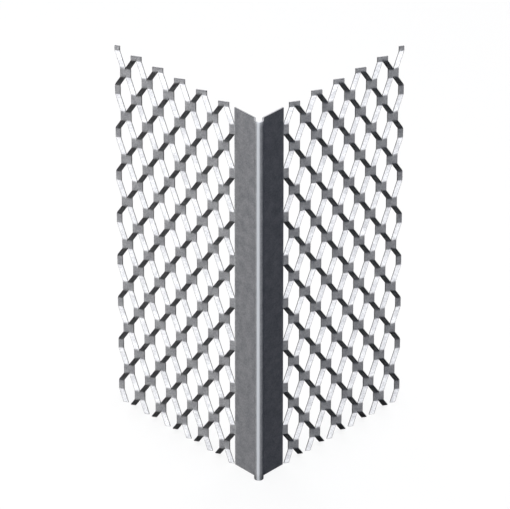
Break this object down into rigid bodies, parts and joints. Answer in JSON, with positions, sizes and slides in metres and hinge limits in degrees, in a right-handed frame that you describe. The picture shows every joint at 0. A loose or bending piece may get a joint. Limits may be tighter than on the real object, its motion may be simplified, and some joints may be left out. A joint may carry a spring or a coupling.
{
  "type": "expanded metal corner bead",
  "caption": "Galvanised steel corner bead for plaster: a rounded nose, a solid web on each side of it and slit and stretched mesh wings, cut to a short length.",
  "frame": {"origin": "centre of the bead's box at its lower cut end", "axes": "+Z along the bead; one wing points to +X and the other to +Y, each turned 2.7 degrees in from its axis, and the nose faces -X-Y"},
  "size_m": [0.0514, 0.0514, 0.095],
  "materials": {
    "galvanised_steel": "hot-dip galvanised sheet, soft grey with a faint mottle"
  },
  "bodies": {
    "root": {"corner_bead": "galvanised_steel"}
  },
  "joints": []
}
